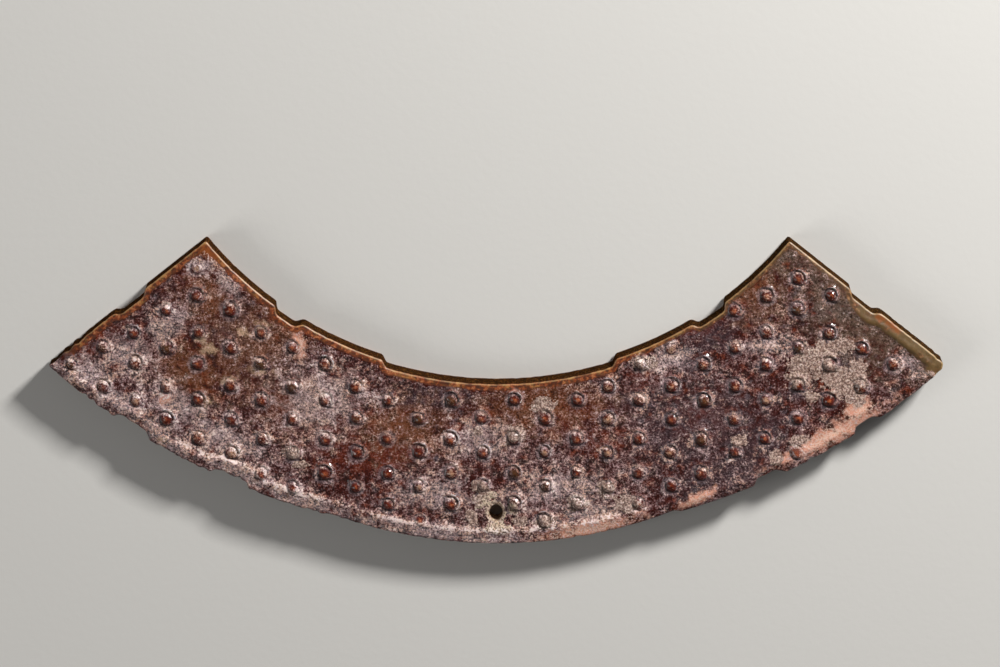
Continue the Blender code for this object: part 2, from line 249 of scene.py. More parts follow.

# The stains, in the order they are laid on, among them painted shade and painted highlights: what each is
# measured by, what breaks up its rim and by how much, from and to, its colour or its two colours, and its
# strength.
STAINS = (
    ("broad", "cloud", 1.0, 0.9, 1.1, "#38140f", 0.8),
    ("russet", "clump", 2.0, 1.15, 1.6, "#702c16", 0.75),
    ("frosted", "fleck", 0.0, 1.5, 1.76, "#7e5250", 0.8),
    ("tone", "cloud", 0.6, 0.86, 0.98, "#8c3e1e", 0.5),
    ("tone", "cloud", -0.6, 0.16, 0.08, "#2c1a14", 0.6),
    ("tone", "grit", -1.0, -0.08, -0.2, "#86747c", 0.5),
    ("slate", "clump", 2.0, 1.2, 1.7, "#4c4046", 0.5),
    ("ochre", "clump", 2.5, 1.5, 2.2, "#8e5632", 0.55),
    ("olive", "clump", 2.5, 1.3, 2.2, "#7e6856", 0.6),
    ("frost", "clump", 2.0, 1.3, 1.9, "#a89696", 0.6),
    ("halo", "clump", 2.5, 1.5, 2.5, "#8e7e82", 0.45),
    ("fleck", "grit", 0.5, 0.69, 0.59, "#1c0c0a", 0.7),
    ("tan", "clump", 2.0, 1.45, 2.0, "#cfac88", 0.75),
    ("salmon", "clump", 2.0, 1.35, 1.85, "#e4a086", 0.92),
    ("salmon", "fleck", 3.0, 2.1, 2.5, "#e6c8b4", 0.7),
    ("bead", "grit", 0.5, 0.38, 0.6, "#601e10", 0.85),
    ("bead", "grit", 2.5, 1.9, 2.4, "#b0603c", 0.85),
    ("olive core", "fleck", 1.5, 1.0, 1.4, "#4a341c", 0.75),
    ("pale core", "fleck", 2.4, 1.7, 2.0, "#cba486", 0.6),
    ("bead", "fleck", -2.0, 0.1, 0.3, "#1e0a08", 0.7),
    ("band", "grit", 1.0, 0.75, 1.5, "#5a2a10", 0.95),
    ("band", "grit", 3.0, 2.4, 2.7, "#9c4416", 0.75),
    ("band", "clump", 3.0, 2.5, 2.95, "#bc8446", 0.6),
    ("dim band", "clump", 1.0, 0.7, 1.7, "#5c482e", 0.85),
    ("band", "grit", -3.0, -0.4, -0.15, "#34160a", 0.6),
    ("band", "grit", 3.0, 2.6, 2.95, "#c8986a", 0.5),
    ("olive band", "clump", 2.5, 1.5, 2.5, "#685230", 0.85),
    ("olive band", "cloud", 2.0, 1.8, 2.3, "#5e441e", 0.6),
    ("ember", "grit", 1.0, 0.9, 1.4, "#8c4814", 0.8),
    # Painted highlight: a pale line along the front edge, in the clear band.
    ("painted edge highlight", "clump", 2.5, 1.6, 2.4, "#b4925e", 0.6),
    ("frosted", "fleck", 0.0, 1.77, 1.88, ("#c09a98", "#d8a488"), 0.85),
    ("pitted", "grit", 0.5, 0.68, 0.58, "#2a1614", 0.6),
    # The tails laid pale, partly frost and partly a painted highlight on their ridges.
    ("tail", "fleck", 1.0, 1.0, 1.35, "#cab0ae", 0.7),
    ("warm tail", "fleck", 2.0, 1.3, 1.8, "#96543a", 0.75),
    # Painted highlight: a thin white line along the crest of each well-curled tail.
    ("tail", "fleck", 0.6, 1.0, 1.15, "#f2e6e4", 0.85),
    # Painted shade: the walls darkened nearly to black, as if unlit, then specks of painted glints on them.
    ("wall", "grit", 1.0, 0.9, 1.3, "#22160b", 0.95),
    ("wall", "fleck", 2.0, 2.1, 2.3, "#865424", 0.6),
    ("crusted", "grit", 1.0, 0.8, 1.4, "#a48476", 0.95),
    ("crusted", "grit", 3.0, 2.5, 2.85, "#c8a898", 0.6),
    ("hole crust", "grit", 2.0, 1.7, 2.3, "#f4deba", 0.9),
    ("crusted", "fleck", -2.5, -0.24, -0.08, "#4a2e24", 0.8),
    ("crusted", "fleck", 2.5, 2.3, 2.5, "#e8cebe", 0.8),
    # The whitest frost: white crystals, standing also for painted glints.
    ("frosted", "fleck", 0.0, 1.92, 2.02, "#f6e0d8", 0.85),
    # Painted glints: sparse white specks for light caught on the stone.
    ("painted_glints", "clump", 0.5, 0.93, 1.0, "#f2e4de", 0.75),
    # Painted shade: the grooves, and the ring at the foot of each nub's lower left, darkened nearly to black.
    ("groove", "grit", 1.2, 1.0, 1.5, "#180706", 0.65),
)

# The camera, and the lamps and floor in metres. Each lamp has its place, width and power.
FRAME_WIDTH = 150.0
LENS = 200.0
SENSOR = 36.0
TILT = math.radians(12.4)
AIM = (0.6, 9.2, 4.6)
LAMPS = {"key": ((0.33, 0.38, 0.26), 0.09, 4.6), "fill": ((-0.55, -0.2, 0.35), 0.35, 1.3)}
ROOM_LIGHT = 0.09
FLOOR_REACH = 3

SMOOTH = {"interpolation_type": "SMOOTHSTEP"}


def ramp(values, start, end):
    """0 at the start, 1 at the end and even between them."""
    return np.clip((values - start) / (end - start), 0, 1)


def at(angles, reach):
    """Points at these angles from the centre line, this far from the arc's centre."""
    return np.stack([reach * np.sin(angles), -reach * np.cos(angles)], axis=-1) + ARC_CENTRE


def polar(points):
    """Each point's angle from the centre line and its distance from the arc's centre."""
    from_centre = points - ARC_CENTRE
    return np.arctan2(from_centre[:, 0], -from_centre[:, 1]), np.linalg.norm(from_centre, axis=1)


def recess(places, start, end, run):
    """1 between start and end and 0 outside, with a slope of this run at each end."""
    return np.clip(np.minimum(places - start, end - places) / run, 0, 1)


def circle_reach(angles, centre_up, radius):
    """How far an arc lies from the plate's centre when its own centre lies higher up."""
    return np.sqrt(radius**2 - (centre_up * np.sin(angles)) ** 2) - centre_up * np.cos(angles)


def inner_reach(angles):
    """How far the stepped inner edge lies from the arc's centre."""
    run = STEP_RUN / INNER_RADIUS
    cut = sum(recess(angles, *np.radians(span), run) for span in INNER_RECESSES)
    return INNER_RADIUS - INNER_STEP * (1 - cut)


def outer_reach(angles):
    """How far the outer edge lies from it: two long sides, a wider-set middle panel and the notches."""
    run = STEP_RUN / OUTER_RADIUS
    half_chord = END_RADIUS * math.sin(HALF_SPREAD)
    side_centre = math.sqrt(SIDE_RADIUS**2 - half_chord**2) - END_RADIUS * math.cos(HALF_SPREAD)
    side = circle_reach(angles, side_centre, SIDE_RADIUS)
    panel = circle_reach(angles, PANEL_RADIUS - OUTER_RADIUS, PANEL_RADIUS)
    in_panel = recess(angles, *np.radians(OUTER_PANEL), run)
    cut = sum(recess(angles, *np.radians(span), run) for span in OUTER_NOTCHES)
    return side * (1 - in_panel) + panel * in_panel - OUTER_STEP * cut


def end_line(side):
    """One straight end with its notch, from the inner edge outwards."""
    reach = np.arange(inner_reach(np.array(HALF_SPREAD)), outer_reach(np.array(HALF_SPREAD)), FINE)
    along = at(side * HALF_SPREAD, 1) - ARC_CENTRE
    inward = np.array([along[1], -along[0]]) * side
    return at(side * HALF_SPREAD, reach) + inward * END_STEP * recess(reach, *END_NOTCH, STEP_RUN)[:, None]


def evenly(line, step):
    """A closed line with its points set this far apart."""
    closed = np.vstack([line, line[:1]])
    lengths = np.concatenate([[0], np.cumsum(np.linalg.norm(np.diff(closed, axis=0), axis=1))])
    places = np.linspace(0, lengths[-1], round(lengths[-1] / step), endpoint=False)
    return np.stack([np.interp(places, lengths, closed[:, i]) for i in (0, 1)], axis=-1)


def cut_line():
    """The outline as it was cut, anticlockwise from the left outer corner."""
    angles = np.arange(-HALF_SPREAD, HALF_SPREAD, FINE / OUTER_RADIUS)
    outer = at(angles, outer_reach(angles))
    inner = at(angles, inner_reach(angles))
    return evenly(np.vstack([outer, end_line(1)[::-1], inner[::-1], end_line(-1)]), FINE)


def softened(values, radius):
    """Values at even steps along a closed line, smoothed over this radius."""
    rate = np.fft.fftfreq(len(values), FINE)
    keep = np.exp(-2 * (math.pi * rate * radius) ** 2)
    return np.fft.ifft(np.fft.fft(values, axis=0) * keep[:, None], axis=0).real


def inward_of(line):
    """At each point of an anticlockwise line, the direction into the plate."""
    along = np.roll(line, -1, axis=0) - np.roll(line, 1, axis=0)
    along /= np.linalg.norm(along, axis=1)[:, None]
    return np.stack([-along[:, 1], along[:, 0]], axis=-1)


def near(points, place, reach):
    """1 at the place and fading to 0 round it."""
    return np.exp(-(np.linalg.norm(points - np.array(place), axis=-1) ** 2) / reach**2)


def worn_line(line, random):
    """The outline after long wear: soft corners, chips and a ragged lower edge, all cut inwards."""
    corner = near(line, at(HALF_SPREAD, END_RADIUS), SOFTEST_CORNER_REACH)[:, None]
    soft = softened(line, CORNER_SOFTNESS) * (1 - corner) + softened(line, SOFTEST_CORNER) * corner
    depth = sum(chip[3] * near(line, chip[:2], chip[2]) for chip in CHIPS)
    rough = softened(random.normal(size=(len(line), 2)), RAGGED_SIZE)
    rough /= rough.std(axis=0)
    _, reach = polar(line)
    ragged = RAGGED_LOWER_LEFT * ramp(line[:, 0], *LOWER_LEFT)
    ragged += RAGGED_LOWER_RIGHT * ramp(line[:, 0], *LOWER_RIGHT)
    depth += np.clip(rough[:, 0], 0, 2) * (RAGGED_EVERYWHERE + ragged * (reach > OUTER_SIDE))
    return evenly(soft + inward_of(soft) * softened(depth[:, None], CHIP_SOFTNESS), EDGE_STEP)


def edge_distance(points, line):
    """How far points lie from a closed line, found for a few thousand of them at a time."""
    ahead = np.roll(line, -1, axis=0) - line
    found = np.empty(len(points))
    batch = 2000
    for start in range(0, len(points), batch):
        part = points[start:start + batch]
        nearest = np.argmin(((part[:, None] - line[None]) ** 2).sum(axis=2), axis=1)
        gaps = []
        for i in (nearest, nearest - 1):
            from_start = part - line[i]
            share = np.clip((from_start * ahead[i]).sum(axis=1) / (ahead[i] ** 2).sum(axis=1), 0, 1)
            gaps.append(np.linalg.norm(from_start - ahead[i] * share[:, None], axis=1))
        found[start:start + batch] = np.minimum(*gaps)
    return found


def inside(points, line):
    """Which points lie inside a closed line."""
    found = np.zeros(len(points), bool)
    for start, end in zip(line, np.roll(line, -1, axis=0)):
        crosses = (start[1] > points[:, 1]) != (end[1] > points[:, 1])
        rise = (end[1] - start[1]) or 1
        found ^= crosses & (points[:, 0] < (end[0] - start[0]) * (points[:, 1] - start[1]) / rise + start[0])
    return found


def circle(middle, radius, count):
    """Points round a circle, clockwise."""
    turns = np.arange(count) * -2 * math.pi / count
    return np.stack([np.cos(turns), np.sin(turns)], axis=-1) * radius + middle


def hole_ring(radius, count):
    """A ring of points round the hole, as oval as the hole."""
    return circle((0, 0), radius, count) * (1, HOLE_WORN) + HOLE


def from_hole(points):
    """Distance to the middle of the hole, counted on such rings."""
    return np.linalg.norm((points - HOLE) / (1, HOLE_WORN), axis=1)


def from_nearest(points, places):
    """Distance from each point to the nearest of the places."""
    return np.min([np.linalg.norm(points - place, axis=1) for place in places], axis=0)


def grain_places(line, to_edge):
    """The middle of each grain: staggered rows, kept off the rim and the hole."""
    places = []
    for row in range(ROWS):
        y = LOWEST_CORNER[1] + FIRST_ROW + row * ROW_STEP / 2 + ROW_DRIFT[row % len(ROW_DRIFT)]
        for column in range(-COLUMNS_EACH_SIDE, COLUMNS_EACH_SIDE + 1):
            if (row + column) % 2 == 0:
                places.append((COLUMN_SHIFT + column * COLUMN_STEP, y))
    places = np.array(places)
    kept = inside(places, line[::6]) & (edge_distance(places, line) > to_edge)
    return places[kept & (from_hole(places) > HOLE_CLEAR)]


def hex_grid(step):
    """Even points over the whole plate."""
    across, up = GRID_REACH
    x, y = np.meshgrid(np.arange(-across, across, step), np.arange(-up, up, step * math.sqrt(0.75)))
    x[::2] += step / 2
    return np.stack([x.ravel(), y.ravel()], axis=-1)


def front_points(line, grains):
    """Plan of the front's points inside its edge: fine round the grains, the rim and the hole."""
    rim = []
    for inset in RIM_RINGS:
        points = line + inward_of(line) * inset
        keep = edge_distance(points, line) > inset - 0.02
        if inset > RIM_RINGS_BY_GRAINS:
            keep &= from_nearest(points, grains) > GRAIN_REACH + GRAIN_STEP / 2
        rim.append(points[keep])
    radii = np.arange(GRAIN_STEP, GRAIN_REACH, GRAIN_STEP)
    rings = [circle((0, 0), radius, round(2 * math.pi * radius / GRAIN_STEP)) for radius in radii]
    round_one = np.vstack([*rings, [(0, 0)]])
    carved = (grains[:, None] + round_one[None]).reshape(-1, 2)
    clear = edge_distance(carved, line) > RIM_RINGS_BY_GRAINS + 0.08
    carved = carved[clear & (from_hole(carved) > HOLE_RINGS_REACH)]
    field = hex_grid(FIELD_STEP)
    field = field[inside(field, line)]
    field = field[edge_distance(field, line) > RIM_RINGS[-1] + FIELD_STEP / 2]
    field = field[from_nearest(field, grains) > GRAIN_REACH + FIELD_STEP / 3]
    field = field[from_hole(field) > HOLE_RINGS_REACH + FIELD_STEP / 3]
    return np.vstack([*rim, carved, field, *(hole_ring(radius, HOLE_POINTS) for radius in HOLE_RINGS)])


def back_points(line):
    """Plan of the back's points inside its edge."""
    rim = []
    for inset in BACK_RINGS:
        points = (line + inward_of(line) * inset)[::2]
        rim.append(points[edge_distance(points, line) > inset - 0.02])
    field = hex_grid(BACK_STEP)
    field = field[inside(field, line)]
    field = field[edge_distance(field, line) > BACK_RINGS[-1] + BACK_STEP / 2]
    field = field[from_hole(field) > BACK_HOLE_REACH]
    return np.vstack([*rim, field, hole_ring(BACK_HOLE_RING, BACK_HOLE_POINTS)])


def triangles(line, hole, others):
    """Triangles between the edge, the hole and the points between them, but none across the hole."""
    loops = []
    for first, count in ((0, len(line)), (len(line), len(hole))):
        loops += [(first + i, first + (i + 1) % count) for i in range(count)]
    points = np.vstack([line, hole, others])
    corners = [Vector(point) for point in points.tolist()]
    inside_loops = 1
    _, _, faces, origins, _, _ = geometry.delaunay_2d_cdt(corners, loops, [], inside_loops, 1e-5)
    first = [origin[0] for origin in origins]
    faces = np.array([[first[i] for i in face] for face in faces])
    return points, faces[from_hole(points[faces].mean(axis=1)) > HOLE_RADIUS * 0.995]


def profile_height(profile, distance):
    """Height by distance from the edge, with the profile's creases worn soft."""
    step = 0.01
    margin = 40
    fine = np.arange(-1, profile[-1][0], step)
    heights = np.interp(fine, *zip(*profile))
    kernel = np.exp(-((np.arange(-30, 31) * step / PROFILE_SOFTNESS) ** 2))
    soft = np.convolve(heights, kernel / kernel.sum(), "same")
    return np.interp(distance, fine[margin:-margin], soft[margin:-margin])


def worn_by(wear, distance):
    """How much height an edge has lost at this distance from it."""
    depth, width = wear
    return depth * np.exp(-((distance / width) ** 2))


def front_height(points, line):
    """The front without its grains: a raised rim, wider along the low outer edge and worn along the inner."""
    distance = edge_distance(points, line)
    angle, reach = polar(points)
    to_end = math.degrees(HALF_SPREAD) - abs(np.degrees(angle))
    crisp = ramp(reach, *CRISP_RIM) * ramp(to_end, 0, CRISP_RIM_TO_END)
    low_edge = recess(np.degrees(angle), *WIDER_RIM_SPAN, SPAN_RUN) * crisp
    rim_width = FRONT_PROFILE[1][0]
    height = profile_height(FRONT_PROFILE, distance / (1 + WIDER_RIM / rim_width * low_edge)) * crisp
    height += profile_height(WORN_PROFILE, distance) * (1 - crisp)
    return height - worn_by(FRONT_WEAR, distance) - worn_by(FRONT_HOLE_WEAR, from_hole(points) - HOLE_RADIUS)


def back_height(points, line):
    """The plain back, which lies on its flat ridge."""
    distance = edge_distance(points, line)
    height = profile_height(BACK_PROFILE, distance) + worn_by(BACK_WEAR, distance)
    return np.clip(height + worn_by(BACK_HOLE_WEAR, from_hole(points) - HOLE_RADIUS), 0.0, None)


def plate_mesh(line, grains, random):
    """The plate without its grains: front and back from their plans, and walls between their edges."""
    hole = hole_ring(HOLE_RADIUS, HOLE_POINTS)
    front_plan, front = triangles(line, hole, front_points(line, grains))
    levels = [np.column_stack([front_plan, front_height(front_plan, line)])]
    outline = np.vstack([line, hole])
    inward = np.vstack([inward_of(line), inward_of(hole)])
    roughness = np.repeat(WALL_ROUGHNESS, (len(line), len(hole)))
    for height in WALL_HEIGHTS:
        inset = roughness * random.uniform(0, 1, len(outline))
        levels.append(np.column_stack([outline + inward * inset[:, None], np.full(len(outline), height)]))
    back_plan, back = triangles(line, hole, back_points(line))
    levels.append(np.column_stack([back_plan, back_height(back_plan, line)]))

    # Every level starts with the points of the edge and the hole, and walls join these to the next level's.
    ring = np.arange(len(outline))
    ahead = np.concatenate([np.roll(ring[:len(line)], -1), np.roll(ring[len(line):], -1)])
    faces = [front]
    upper = ring
    for above in levels[:-1]:
        lower = upper + len(above)
        faces.append(np.column_stack([lower, lower[ahead], upper[ahead]]))
        faces.append(np.column_stack([lower, upper[ahead], upper]))
        upper = lower
    faces.append(back[:, ::-1] + upper[0])
    mesh = bpy.data.meshes.new("plate")
    mesh.from_pydata(np.vstack(levels) * MM, [], np.vstack(faces).tolist())
    return mesh


def store(mesh, name, values):
    """Keeps one value for every vertex, under a name."""
    mesh.attributes.new(name, "FLOAT", "POINT").data.foreach_set("value", np.asarray(values, np.float32))


def patch_strength(points, patches):
    """1 in the middle of a patch, 0.5 at its rim and 0 at twice its size."""
    best = np.zeros(len(points))
    for x, y, half_length, half_width, turn in patches:
        turn = math.radians(turn)
        away = points - (x, y)
        along = away @ (math.cos(turn), math.sin(turn)) / half_length
        across = away @ (-math.sin(turn), math.cos(turn)) / half_width
        best = np.maximum(best, 1 - np.hypot(along, across) / 2)
    return best


def mark_places(mesh, line):
    """Notes at every vertex how far it is from the edge and the hole, and how much of each zone it is in."""
    spots = np.empty(len(mesh.vertices) * 3)
    mesh.vertices.foreach_get("co", spots)
    spots = spots.reshape(-1, 3) / MM
    points = spots[:, :2]
    height = spots[:, 2]
    to_edge = edge_distance(points, line)
    angle, reach = polar(points)
    front = ramp(height, 1, 3)
    marks = {name: patch_strength(points, patches) * front for name, patches in PATCHES.items()}
    marks["edge"] = to_edge
    marks["hole"] = from_hole(points)
    marks["wall"] = ramp(height, 4.5, 4.3) * ramp(height, 0.4, 0.6)
    marks["tip"] = ramp(points[:, 0], *TIP_ZONE)
    marks["dim"] = ramp(points[:, 0], *DIM_ZONE)

    # Clear stone shows along the inner edge and both ends, but not at the left outer corner.
    inner = ramp(reach, INNER_RADIUS + 4, INNER_RADIUS + 3)
    end = ramp((HALF_SPREAD - abs(angle)) * reach, 3, 2)
    left_corner = near(points, at(-HALF_SPREAD, END_RADIUS), 3.5)
    marks["honey"] = np.maximum(inner, end) * (1 - left_corner)

    # Frost lies along the foot of the bevel of the low outer edge.
    low_edge = recess(np.degrees(angle), *LEDGE_SPAN, SPAN_RUN) * (reach > INNER_RADIUS + 10)
    marks["ledge"] = np.exp(-(((to_edge - 2.1) / 0.4) ** 2)) * low_edge * front
    for name, values in marks.items():
        store(mesh, name, values)


def grains_object(places, back_places, random):
    """One point per grain, with its turn, size, wear, curl and tint."""
    mesh = bpy.data.meshes.new("grain places")
    shift = random.uniform(-GRAIN_SHIFT, GRAIN_SHIFT, (len(places), 2))
    front = np.column_stack([places + shift, np.full(len(places), FRONT_PROFILE[-1][1])])
    back = np.column_stack([back_places, np.full(len(back_places), BACK_PROFILE[-1][1])])
    mesh.from_pydata(np.vstack([front, back]) * MM, [], [])
    count = len(front) + len(back)
    wear = random.uniform(*GRAIN_WEAR, count)
    for x, y, left in WORN_GRAINS:
        wear[np.linalg.norm(np.vstack([places, back_places]) - (x, y), axis=1) < 1.0] = left
    store(mesh, "turn", GRAIN_TURN + random.uniform(-GRAIN_TURN_SPREAD, GRAIN_TURN_SPREAD, count))
    store(mesh, "size", random.uniform(*GRAIN_SIZES, count))
    store(mesh, "wear", wear)
    store(mesh, "curl", random.uniform(*GRAIN_CURL, count))
    store(mesh, "tint", random.uniform(0, 1, count))
    made = bpy.data.objects.new("grain places", mesh)
    bpy.context.scene.collection.objects.link(made)
    return made


def first_output(node):
    """The first output that a node has in its present settings."""
    return next(output for output in node.outputs if output.enabled)


def add(tree, kind, links=(), **settings):
    """A node with its settings, and its inputs in order or by name. A node given stands for its output."""
    node = tree.nodes.new(kind)
    for name, value in settings.items():
        setattr(node, name, value)
    sockets = [socket for socket in node.inputs if socket.enabled]
    pairs = zip(sockets, links)
    if isinstance(links, dict):
        by_name = {socket.name: socket for socket in reversed(sockets)}
        pairs = [(by_name[name], value) for name, value in links.items()]
    for socket, value in pairs:
        if isinstance(value, bpy.types.Node):
            value = first_output(value)
        if isinstance(value, bpy.types.NodeSocket):
            tree.links.new(value, socket)
        else:
            socket.default_value = value
    return node


def nearest_grain(tree, position, places):
    """The middle of the grain nearest to each point, and that grain's own values."""
    nearest = add(tree, "GeometryNodeSampleNearest", [places, position])
    middle = add(tree, "GeometryNodeSampleIndex", [places, position, nearest], data_type="FLOAT_VECTOR")
    own = {}
    for name in ("turn", "size", "wear", "curl", "tint"):
        value = add(tree, "GeometryNodeInputNamedAttribute", [name], data_type="FLOAT")
        own[name] = add(tree, "GeometryNodeSampleIndex", [places, value, nearest], data_type="FLOAT")
    return middle, own


def from_grain(tree, given, position, middle, own):
    """How far and in which direction each point lies from its grain, a little uneven as cut by hand."""
    wobble = add(tree, "ShaderNodeTexNoise", {"Vector": position, "Scale": 900.0, "Detail": 3.0})
    wobble = wobble.outputs["Color"]
    wobble = add(tree, "ShaderNodeVectorMath", [wobble, (-0.5, -0.5, -0.5)], operation="ADD")
    wobble = add(
        tree, "ShaderNodeVectorMath", {"Vector": wobble, "Scale": given["Wobble"]}, operation="SCALE",
    )
    away = add(tree, "ShaderNodeVectorMath", [position, middle], operation="SUBTRACT")
    away = add(tree, "ShaderNodeVectorMath", [away, (1, 1, 0), wobble], operation="MULTIPLY_ADD")
    axes = add(tree, "ShaderNodeSeparateXYZ", [away]).outputs
    angle = add(tree, "ShaderNodeMath", [axes["Y"], axes["X"]], operation="ARCTAN2")
    around = add(tree, "ShaderNodeMath", [angle, 0.5 / math.pi, own["turn"]], operation="MULTIPLY_ADD")
    around = add(tree, "ShaderNodeMath", [around], operation="FRACT")
    reach = add(tree, "ShaderNodeVectorMath", [away], operation="LENGTH").outputs["Value"]
    reach = add(tree, "ShaderNodeMath", [reach, own["size"]], operation="DIVIDE")
    leaning = add(tree, "ShaderNodeMath", [angle, -math.pi / 4], operation="ADD")
    leaning = add(tree, "ShaderNodeMath", [leaning], operation="COSINE")
    return reach, around, leaning


def nub_and_marks(tree, given, reach, leaning):
    """The nub, steep at its lower left and drawn out to its upper right, and the marks that colour it: among
    them the flank facing the key lamp, where frost is laid thicker as a painted highlight.
    """
    foot = add(tree, "ShaderNodeMapRange", [leaning, -1, 1, given["Nub Short Side"], given["Nub Long Side"]])
    share = add(tree, "ShaderNodeMath", [reach, foot], operation="DIVIDE", use_clamp=True)
    share = add(tree, "ShaderNodeMath", [share, 1.35], operation="POWER")
    nub = add(tree, "ShaderNodeMath", [1.0, share], operation="SUBTRACT")
    bead = add(tree, "ShaderNodeMapRange", [reach, given["Bead Radius"], 0, 0, 1], **SMOOTH)
    off_core = add(tree, "ShaderNodeMapRange", [reach, 0.35 * MM, 0.7 * MM, 0, 1], **SMOOTH)
    close = add(tree, "ShaderNodeMapRange", [reach, 1.9 * MM, 1.3 * MM, 0, 1], **SMOOTH)
    halo = add(tree, "ShaderNodeMath", [off_core, close], operation="MULTIPLY")
    # The flank faces the upper right, where the key lamp stands: frost laid thicker on it is painted
    # highlight.
    flank = add(tree, "ShaderNodeMapRange", [leaning, -0.1, 0.6, 0, 1], **SMOOTH)
    flank = add(tree, "ShaderNodeMath", [flank, halo], operation="MULTIPLY")
    return foot, nub, {"bead": bead, "halo": halo, "flank": flank}


def tail_and_groove(tree, given, own, reach, around, leaning, foot):
    """The tail, which leaves the nub at its lower right and curls over the top, and the grooves beside it."""
    back_round = add(tree, "ShaderNodeMath", [around, -1.5, 1.5], operation="MULTIPLY_ADD")
    spread = add(tree, "ShaderNodeMath", [around, back_round], operation="MINIMUM")
    spread = add(tree, "ShaderNodeMath", [spread, 0.45], operation="POWER")
    path = add(tree, "ShaderNodeMapRange", [spread, 0.1, 0.8, given["Tail Start"], given["Tail End"]])
    gap = add(tree, "ShaderNodeMath", [reach, path], operation="SUBTRACT")
    inner_wall = add(tree, "ShaderNodeMapRange", [gap, given["Tail Inside"], 0, 0, 1])
    outer_slope = add(tree, "ShaderNodeMapRange", [gap, given["Tail Outside"], 0, 0, 1])
    tail = add(tree, "ShaderNodeMath", [inner_wall, outer_slope], operation="MULTIPLY")
    fade = add(tree, "ShaderNodeMapRange", [around, 0.64, 0.4, 0, own["curl"]], **SMOOTH)
    start = add(tree, "ShaderNodeMapRange", [around, 0, 0.08, 0, 1], **SMOOTH)
    fade = add(tree, "ShaderNodeMath", [fade, start], operation="MULTIPLY")
    tail = add(tree, "ShaderNodeMath", [tail, fade], operation="MULTIPLY")
    ditch = add(tree, "ShaderNodeMath", [gap, given["Groove Place"]], operation="SUBTRACT")
    ditch = add(tree, "ShaderNodeMath", [ditch], operation="ABSOLUTE")
    groove = add(tree, "ShaderNodeMapRange", [ditch, given["Groove Width"], 0, 0, 1], **SMOOTH)
    groove = add(tree, "ShaderNodeMath", [groove, fade], operation="MULTIPLY")
    # A ring cut round the foot of the nub's steep lower left. The stains also darken it, with the grooves, as
    # painted shade.
    foot_ring = add(tree, "ShaderNodeMath", [reach, foot], operation="SUBTRACT")
    foot_ring = add(tree, "ShaderNodeMath", [foot_ring], operation="ABSOLUTE")
    foot_ring = add(tree, "ShaderNodeMapRange", [foot_ring, 0.35 * MM, 0, 0, 1], **SMOOTH)
    steep_side = add(tree, "ShaderNodeMapRange", [leaning, 0.2, -0.6, 0, 1], **SMOOTH)
    foot_ring = add(tree, "ShaderNodeMath", [foot_ring, steep_side], operation="MULTIPLY")
    groove = add(tree, "ShaderNodeMath", [groove, foot_ring], operation="MAXIMUM")
    return tail, groove


def with_crust_and_pits(tree, given, position, front, clear, rise):
    """The rise with crust on top, its rim broken, and with the stone's pits and swells."""
    grit = {"Vector": position, "Scale": 900.0, "Detail": 4.0, "Roughness": 0.65}
    grit = add(tree, "ShaderNodeTexNoise", grit)
    crust = add(tree, "GeometryNodeInputNamedAttribute", ["crust"], data_type="FLOAT")
    crust = add(tree, "ShaderNodeMath", [grit, 1.1, crust], operation="MULTIPLY_ADD")
    crust = add(tree, "ShaderNodeMapRange", [crust, 1.02, 1.1, 0, 1], **SMOOTH)
    rise = add(tree, "ShaderNodeMath", [crust, given["Crust Height"], rise], operation="MULTIPLY_ADD")
    swell = add(tree, "ShaderNodeTexNoise", {"Vector": position, "Scale": 160.0, "Detail": 2.0})
    swell = add(tree, "ShaderNodeMapRange", [swell, 0.3, 0.7, given["Pit Depth"], 0])
    pits = add(tree, "ShaderNodeMapRange", [grit, 0.3, 0.5, given["Pit Depth"], 0])
    pits = add(tree, "ShaderNodeMath", [pits, swell], operation="ADD")
    pits = add(tree, "ShaderNodeMath", [pits, front], operation="MULTIPLY")
    return add(tree, "ShaderNodeMath", [pits, clear, rise], operation="MULTIPLY_ADD")


